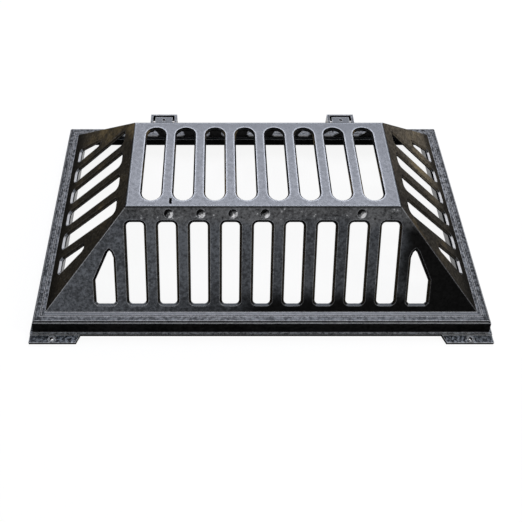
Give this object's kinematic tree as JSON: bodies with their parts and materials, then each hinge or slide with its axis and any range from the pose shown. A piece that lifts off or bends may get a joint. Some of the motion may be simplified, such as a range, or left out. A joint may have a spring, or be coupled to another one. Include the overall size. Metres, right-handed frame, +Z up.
{
  "type": "drain grate",
  "caption": "Raised drain grate: a slotted hipped hood cast in one piece, hinged at the rear in a cast frame with fixing feet at the front.",
  "frame": {"origin": "on the ground, in the middle of the footprint", "axes": "+X along the frame, +Y towards the hinges, +Z up"},
  "size_m": [0.772, 0.52, 0.17],
  "materials": {
    "frame": "black bitumen paint on a sand-cast surface",
    "grate": "black bitumen paint, smoother on the flat top",
    "pin": "plain drawn",
    "spring_pin": "tempered"
  },
  "bodies": {
    "frame": {"frame": "frame"},
    "grate": {"grate": "grate", "hinge_pin_left": "pin", "hinge_pin_right": "pin", "spring_pin_left": "spring_pin", "spring_pin_right": "spring_pin"}
  },
  "joints": [
    {"name": "grate_hinge", "type": "hinge", "parent": "frame", "child": "grate", "pos_m": [0, 0.244, 0.0235], "axis": [-1, 0, 0], "range_deg": [0, 108]}
  ]
}
